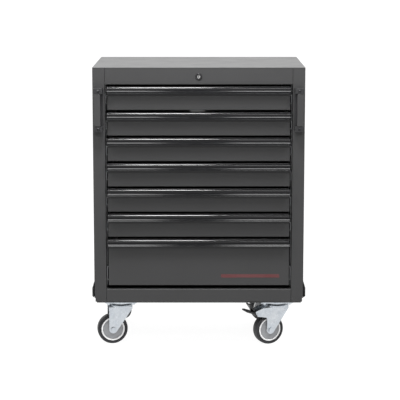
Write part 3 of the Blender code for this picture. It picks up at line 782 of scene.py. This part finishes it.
# %% Grow the liners
def liner_tree(name, finish):
    sizes = {"Width": 0.5, "Depth": 0.4, "Sheet": 0.0014}
    sizes |= {"Rib Width": 0.0018, "Rib Height": 0.0009, "Ribs": 10}
    tree, source = new_tree(name, sizes)
    give = source.outputs
    sheet_size = add(
        tree, "ShaderNodeCombineXYZ", {"X": give["Width"], "Y": give["Depth"], "Z": give["Sheet"]}
    )
    sheet = add(tree, "GeometryNodeMeshCube", {"Size": sheet_size.outputs[0]})
    rib_size = add(
        tree, "ShaderNodeCombineXYZ", {"X": give["Rib Width"], "Y": give["Depth"], "Z": give["Rib Height"]}
    )
    rib = add(tree, "GeometryNodeMeshCube", {"Size": rib_size.outputs[0]})
    span = add(tree, "ShaderNodeMath", {0: give["Width"], 1: give["Rib Width"]}, operation="SUBTRACT")
    half = add(tree, "ShaderNodeMath", {0: span.outputs[0], 1: 0.5}, operation="MULTIPLY")
    back = add(tree, "ShaderNodeMath", {0: half.outputs[0], 1: -1.0}, operation="MULTIPLY")
    rise = add(tree, "ShaderNodeMath", {0: give["Sheet"], 1: give["Rib Height"]}, operation="ADD")
    lift = add(tree, "ShaderNodeMath", {0: rise.outputs[0], 1: 0.5}, operation="MULTIPLY")
    first = add(tree, "ShaderNodeCombineXYZ", {"X": back.outputs[0], "Z": lift.outputs[0]})
    last = add(tree, "ShaderNodeCombineXYZ", {"X": half.outputs[0], "Z": lift.outputs[0]})
    line = add(
        tree,
        "GeometryNodeMeshLine",
        {"Count": give["Ribs"], "Start Location": first.outputs[0], "Offset": last.outputs[0]},
        mode="END_POINTS",
    )
    ribs = copies(tree, line.outputs[0], rib.outputs[0])
    joined = tree.nodes.new("GeometryNodeJoinGeometry")
    tree.links.new(sheet.outputs[0], joined.inputs[0])
    tree.links.new(ribs, joined.inputs[0])
    end_tree(tree, joined.outputs[0], finish)
    return tree


LINER_SHEET = 0.0014
LINER_WIDTH = 2 * 0.2815
LINER_DEPTH = 0.397
LINER_RIBS = 94
LINER_BACK = 0.001
LINER_LIFT = 0.0001
tray_low, tray_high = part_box("drawer_1_tray")
middle = (tray_low.y + tray_high.y) / 2 + LINER_BACK
liner_sizes = {"Width": LINER_WIDTH, "Depth": LINER_DEPTH, "Ribs": LINER_RIBS}
liner = grown(liner_tree("ribbed_liner", liner_rubber), liner_sizes)
for number in DRAWERS:
    place = Matrix.Translation((0, middle, floors[number] + LINER_SHEET / 2 + LINER_LIFT))
    name = f"drawer_{number}_liner"
    finished(name, placed_copy(liner, name, place), f"drawer_{number}", liner_rubber)
print("liner:", len(liner.polygons), "faces each")

# %% [markdown]
# ## Balls in the slides
# Each drawer runs on hardened balls held between the fixed channel and the moving runner. Only the ones
# near the mouth ever catch the light. They sit in the narrow space above and below the runner, in one row
# for each track.

# %% Roll balls into the slides
BALL = 0.00092
BALL_X = 0.2908
ROW_COUNT = 18
ROW_LENGTH = 0.20
ROW_MIDDLE = FRONT + 0.116
TRACKS = {"small": 0.0109, "large": 0.0199}
RUNNER_DROPS = {"small": 0.0415, "large": 0.1139}
row_of_balls = line_tree("ball_row", ball_pattern, nickel)
balls = bmesh.new()
ball_row = grown(row_of_balls, {"Count": ROW_COUNT, "Length": ROW_LENGTH / BALL})
ROW_TURN = Matrix.Rotation(math.pi / 2, 4, "Z") @ Matrix.Scale(BALL, 4)
for number in DRAWERS:
    size = "large" if number == DRAWERS[-1] else "small"
    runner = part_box(f"drawer_{number}_handle")[1].z - RUNNER_DROPS[size]
    for side in SIDES.values():
        for track in (-TRACKS[size], TRACKS[size]):
            place = Matrix.Translation((side * BALL_X, ROW_MIDDLE, runner + track))
            row = placed_copy(ball_row, "row", place @ ROW_TURN)
            balls.from_mesh(row)
            bpy.data.meshes.remove(row)
balls_mesh = bpy.data.meshes.new("slide_balls")
balls.to_mesh(balls_mesh)
balls.free()
finished("slide_balls", balls_mesh, "cabinet", nickel, crease=180)
print("balls:", len(balls_mesh.polygons) // len(ball_pattern.data.polygons))


# %% [markdown]
# ## Screws and rivets on the cabinet
# Fasteners are what hold thin sheet together, and their spacing shows how the real chest is built. The
# plastic strips are screwed to the bumpers, the grips to the posts, and the rear flanges are riveted to
# the uprights inside.

# %% Drive the cabinet's fasteners
def set_out(name, tree, sizes, places, body, finish):
    """One piece from copies of a grown pattern, one for each matrix."""
    source = grown(tree, sizes)
    bm = bmesh.new()
    for place in places:
        copy = placed_copy(source, "copy", place)
        bm.from_mesh(copy)
        bpy.data.meshes.remove(copy)
    mesh = bpy.data.meshes.new(name)
    bm.to_mesh(mesh)
    bm.free()
    return finished(name, mesh, body, finish, crease=40)


FACING_FRONT = Matrix.Rotation(math.pi / 2, 4, "X")
FACING_BACK = Matrix.Rotation(-math.pi / 2, 4, "X")
screws = grid_tree("screw_grid", screw_pattern, black_oxide)
rivets = grid_tree("rivet_grid", rivet_pattern, grey_coat)

STRIP_SINK = 0.0006
STRIP_SPAN = 0.40
strip_places = []
for side_name, side in SIDES.items():
    low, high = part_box(f"bumper_strip_{side_name}")
    middle = (low + high) / 2
    outer = side * max(abs(low.x), abs(high.x))
    turn = Matrix.Rotation(side * math.pi / 2, 4, "Y")
    strip_places.append(Matrix.Translation((outer - side * STRIP_SINK, middle.y, middle.z)) @ turn)
set_out(
    "bumper_strip_screws", screws, {"Columns": 1, "Rows": 3, "Width": STRIP_SPAN}, strip_places, "cabinet",
    black_oxide,
)

GRIP_SINK = 0.0003
GRIP_MARGIN = 0.0175
grip_places = []
for side_name in SIDES:
    low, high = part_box(f"grip_bracket_{side_name}")
    middle = (low + high) / 2
    grip_places.append(Matrix.Translation((middle.x, low.y + GRIP_SINK, middle.z)) @ FACING_FRONT)
grip_span = high.z - low.z - GRIP_MARGIN
set_out(
    "grip_screws", screws, {"Columns": 1, "Rows": 2, "Width": grip_span}, grip_places, "cabinet",
    black_oxide,
)

FLANGE_X = 0.3285
FLANGE_MIDDLE = 0.545
FLANGE_SPAN = 0.70
flange_places = []
for side in SIDES.values():
    flange_places.append(Matrix.Translation((side * FLANGE_X, BACK, FLANGE_MIDDLE)) @ FACING_BACK)
set_out(
    "rear_flange_rivets", rivets, {"Columns": 1, "Rows": 7, "Width": FLANGE_SPAN}, flange_places, "cabinet",
    grey_coat,
)
print("cabinet fasteners: 6 strip screws, 4 grip screws, 14 rivets")

# %% [markdown]
# ## Screws inside the drawers
# The handle is held by four small screws driven from inside the drawer. They show when a drawer is open.

# %% Drive the handle screws
SCREW_DROP = 0.030
SCREW_SPAN = 0.48
for number in DRAWERS:
    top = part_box(f"drawer_{number}_handle")[1].z
    inside = surface(f"drawer_{number}_tray", (0.1, 0, top - SCREW_DROP), (0, -1, 0))
    place = Matrix.Translation((0, inside.y, inside.z)) @ FACING_BACK
    set_out(
        f"drawer_{number}_handle_screws", screws, {"Columns": 4, "Rows": 1, "Length": SCREW_SPAN}, [place],
        f"drawer_{number}", nickel,
    )
print("handle screws at y =", round(inside.y, 4))


# %% [markdown]
# ## Where each caster points
# A caster's own frame has its swivel at the origin and its X axis towards the wheel. Both joints of the
# frame give it, so every detail below is modelled once and turned to its corner.

# %% Read the casters' frames
def caster_frame(corner):
    pivot = Vector(joints[f"{corner}_swivel"]["pos_m"])
    wheel = Vector(joints[f"{corner}_roll"]["pos_m"])
    turn = math.atan2(wheel.y - pivot.y, wheel.x - pivot.x)
    return Matrix.Translation((pivot.x, pivot.y, 0)) @ Matrix.Rotation(turn, 4, "Z")


def wheel_frame(corner):
    """The frame of the wheel, with the axle on Z."""
    home = caster_frame(corner)
    centre = home.inverted() @ Vector(joints[f"{corner}_roll"]["pos_m"])
    return home @ Matrix.Translation(centre) @ Matrix.Rotation(math.pi / 2, 4, "X")


for corner in CORNERS:
    print(corner, "points to", round(math.degrees(caster_frame(corner).to_euler().z), 1), "degrees")


# %% [markdown]
# ## Tyres and wheel centres
# The tyre is rubber moulded round a pale plastic wheel: a soft round shoulder, a nearly flat tread and a
# thin raised ring on its wall. The wheel's rim stays white, and a grey disc is clipped into each side to
# keep threads out of the bearing. All are turned with enough steps to look round close up.

# %% Turn the wheels
TYRE_RADIUS = 0.0500
TYRE_HALF = 0.0158
WALL_RADIUS = 0.0435


def both_sides(half):
    """The profile with its mirror image below."""
    return half + [(radius, -height) for radius, height in reversed(half)]


tyre_half = [
    (0.0391, 0.0146),
    (0.0400, 0.0150),
    (0.0403, 0.0156),
    (0.0414, 0.0157),
    (0.0417, 0.0152),
    (0.0426, 0.0153),
]
for step in range(1, 10):
    angle = math.radians(8 + 80 * step / 9)
    shoulder = WALL_RADIUS + (TYRE_RADIUS - WALL_RADIUS) * math.sin(angle) ** 0.8
    tyre_half.append((shoulder, TYRE_HALF * math.cos(angle) ** 0.5))
hub_half = [
    (0.0056, 0.0168),
    (0.0059, 0.0170),
    (0.0111, 0.0170),
    (0.0115, 0.0166),
    (0.0120, 0.0114),
    (0.0338, 0.0114),
    (0.0341, 0.0146),
    (0.0344, 0.0148),
    (0.0380, 0.0148),
    (0.0386, 0.0144),
]
disc = [
    (0.0126, 0.0116),
    (0.0126, 0.0138),
    (0.0132, 0.0141),
    (0.0190, 0.0132),
    (0.0240, 0.0127),
    (0.0300, 0.0130),
    (0.0326, 0.0137),
    (0.0334, 0.0133),
    (0.0334, 0.0116),
]
tyre_mesh = mesh_of(turned(both_sides(tyre_half)), "tyre")
hub_mesh = mesh_of(turned(both_sides(hub_half)), "hub")
disc_pair = turned(disc)
other_disc = mesh_of(turned([(radius, -height) for radius, height in disc]), "other_disc")
disc_pair.from_mesh(other_disc)
disc_mesh = mesh_of(disc_pair, "discs")

for corner in CORNERS:
    home, body = wheel_frame(corner), f"wheel_{corner}"
    name = f"caster_{corner}_moulded_tyre"
    tyre = finished(name, placed_copy(tyre_mesh, name, home), body, tyre_rubber)
    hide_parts(f"caster_{corner}_tyre")
    name = f"caster_{corner}_wheel_centre"
    hub = finished(name, placed_copy(hub_mesh, name, home), body, white_plastic)
    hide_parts(f"caster_{corner}_hub")
    name = f"caster_{corner}_thread_guards"
    finished(name, placed_copy(disc_mesh, name, home), body, grey_plastic)
for part, mesh in (("tyre", tyre_mesh), ("hub", hub_mesh), ("discs", disc_mesh)):
    print(part, len(mesh.polygons), "faces")


# %% [markdown]
# ## The swivel's balls and the plate's bolts
# The fork hangs on a ring of balls below the plate, seen as a line of glints in the dark gap. Four
# hexagon bolts hold the plate up to the base channel. One tree sets the balls out round a circle, and the
# bolts are the grid again.

# %% Fit balls and bolts to the casters
def ring_tree(name, head, finish):
    """Copies of the head object round a circle."""
    tree, source = new_tree(name, {"Count": 24, "Radius": 0.03})
    ring = add(
        tree,
        "GeometryNodeMeshCircle",
        {"Vertices": source.outputs["Count"], "Radius": source.outputs["Radius"]},
    )
    shape = add(tree, "GeometryNodeObjectInfo", {"Object": head})
    end_tree(tree, copies(tree, ring.outputs[0], shape.outputs["Geometry"]), finish)
    return tree


RACE_BALL = 0.00128
RACE_HEIGHT = 0.1340
RACE_RADIUS = 0.0318
BOLT_LENGTH = 0.080
BOLT_WIDTH = 0.060
PLATE_REACH = 0.045
race_tree = ring_tree("ball_ring", ball_pattern, nickel)
bolt_tree = grid_tree("bolt_grid", bolt_pattern, bright_zinc)
seal = [(0.0336, 0.1328), (0.0336, 0.1338), (0.0350, 0.1345), (0.0366, 0.1343), (0.0372, 0.1328)]
seal_mesh = mesh_of(turned(seal), "seal")
for corner in CORNERS:
    home = caster_frame(corner)
    place = home @ Matrix.Translation((0, 0, RACE_HEIGHT)) @ Matrix.Scale(RACE_BALL, 4)
    sizes = {"Count": 30, "Radius": RACE_RADIUS / RACE_BALL}
    set_out(f"caster_{corner}_race_balls", race_tree, sizes, [place], f"fork_{corner}", nickel)
    name = f"caster_{corner}_race_seal"
    finished(name, placed_copy(seal_mesh, name, home), f"fork_{corner}", bright_zinc)
    pivot = Vector(joints[f"{corner}_swivel"]["pos_m"])
    under = surface(f"caster_{corner}_plate", (pivot.x + PLATE_REACH, pivot.y, 0.10), (0, 0, 1))
    place = Matrix.Translation((pivot.x, pivot.y, under.z)) @ Matrix.Rotation(math.pi, 4, "X")
    sizes = {"Columns": 2, "Rows": 2, "Length": BOLT_LENGTH, "Width": BOLT_WIDTH}
    set_out(f"caster_{corner}_plate_bolts", bolt_tree, sizes, [place], "cabinet", bright_zinc)
print("plate underside at z =", round(under.z, 4))

# %% [markdown]
# ## Ribs on the brake pedals
# A shoe slips on smooth plastic, so the lower tongue of each pedal carries moulded ribs across its top.
# They follow the tongue's slope, which rises away from the pedal's pivot.

# %% Mould the pedal ribs
TONGUE_START = Vector((0.078, 0, 0.106))
TONGUE_END = Vector((0.114, 0, 0.1190))
TONGUE_HALF = 0.00325
RIB_COUNT = 5
RIB_START = 0.0190
RIB_PITCH = 0.0040
RIB_SIZE = (0.0016, 0.0300, 0.0012)
along = (TONGUE_END - TONGUE_START).normalized()
slope = Matrix.Rotation(-math.atan2(along.z, along.x), 4, "Y")
ribs = bmesh.new()
for step in range(RIB_COUNT):
    start = TONGUE_START + along * (RIB_START + RIB_PITCH * step)
    centre = Matrix.Translation(start) @ slope @ Matrix.Translation((0, 0, TONGUE_HALF + 0.0003))
    shape = centre @ Matrix.Diagonal((*RIB_SIZE, 1.0))
    bmesh.ops.create_cube(ribs, size=1.0, matrix=shape)
bmesh.ops.bevel(ribs, geom=ribs.edges[:], offset=0.0003, segments=2, affect="EDGES")
rib_mesh = mesh_of(ribs, "pedal_ribs")
for corner in BRAKED:
    name = f"caster_{corner}_pedal_ribs"
    home = caster_frame(corner)
    finished(name, placed_copy(rib_mesh, name, home), f"pedal_{corner}", pedal_plastic)
print("pedal ribs:", len(rib_mesh.polygons), "faces")


# %% [markdown]
# ## Small sheet-metal pieces
# Two flat pieces finish the front. A short tab hangs below the first drawer's front, in the gap above the
# second drawer. A narrow red bar decorates the bottom drawer. Both are thin plates with rounded corners.

# %% Cut the tab and the red bar
def rounded_plate(name, low, high, radius, axis):
    """A thin plate whose edges along the axis are rounded."""
    low, high = Vector(low), Vector(high)
    bm = bmesh.new()
    shape = Matrix.Translation((low + high) / 2) @ Matrix.Diagonal((*(high - low), 1.0))
    bmesh.ops.create_cube(bm, size=1.0, matrix=shape)
    index = "XYZ".index(axis)
    edges = [edge for edge in bm.edges if abs((edge.verts[0].co - edge.verts[1].co)[index]) > 0.00001]
    bmesh.ops.bevel(bm, geom=edges, offset=radius, segments=6, affect="EDGES")
    return mesh_of(bm, name)


front_face = surface("drawer_7_tray", (0.167, FRONT - 0.05, 0.243), (0, 1, 0)).y
bar_low, bar_high = (0.072, front_face - 0.0003, 0.2375), (0.262, front_face, 0.2485)
bar_mesh = rounded_plate("red_bar", bar_low, bar_high, 0.0012, "Y")
finished("drawer_7_red_bar", bar_mesh, "drawer_7", red_paint)

first_bottom = surface("drawer_1_tray", (0, FRONT + 0.001, 0.70), (0, 0, 1)).z
tab_low = (-0.028, FRONT + 0.0009, first_bottom - 0.0058)
tab_high = (0.020, FRONT + 0.0024, first_bottom + 0.0004)
tab_mesh = rounded_plate("tab", tab_low, tab_high, 0.0018, "Y")
finished("drawer_1_lower_tab", tab_mesh, "drawer_1", grey_coat)
print("front face at y =", round(front_face, 4), "first drawer ends at z =", round(first_bottom, 4))

# %% [markdown]
# ## The lock's dark bezel and painted keyway shade
# The lock's ring is blackened, so that only the plug shines. The plug wears a black collar too, and a thin
# black plate at its middle is painted shade for the dark keyway. The collar is a low turned ring that rides
# on the plug and turns with it, as the plate does.

# %% Dress the lock
frame["nodes"]["lock_housing"].data.materials[0] = black_oxide
plug_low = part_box("lock_cylinder")[0]
lock_pivot = Vector(joints["lock_turn"]["pos_m"])
collar_profile = [(0.0046, 0.0), (0.0046, 0.0005), (0.0050, 0.0008), (0.0062, 0.0007), (0.0066, 0.0)]
collar = turned(collar_profile, steps=64)
lock_face = Matrix.Translation((lock_pivot.x, plug_low.y - 0.0001, lock_pivot.z)) @ FACING_FRONT
collar_mesh = placed_copy(mesh_of(collar, "collar"), "lock_collar", lock_face)
finished("lock_collar", collar_mesh, "lock_plug", black_oxide)
# A thin black plate on the plug's face: painted shade standing for the dark keyway slot.
keyway_shade_mesh = rounded_plate(
    "keyway_shade",
    (lock_pivot.x - 0.0013, plug_low.y - 0.0002, lock_pivot.z - 0.0038),
    (lock_pivot.x + 0.0013, plug_low.y + 0.0002, lock_pivot.z + 0.0038),
    0.0009,
    "Y",
)
finished("lock_key_guide", keyway_shade_mesh, "lock_plug", black_oxide)
print("lock collar on", round(plug_low.y, 4))

# %% [markdown]
# ## Tidy up
# The patterns did their work, so they are removed.

# %% Remove the patterns
for helper in (screw_pattern, rivet_pattern, bolt_pattern, ball_pattern, section_object):
    bpy.data.objects.remove(helper, do_unlink=True)
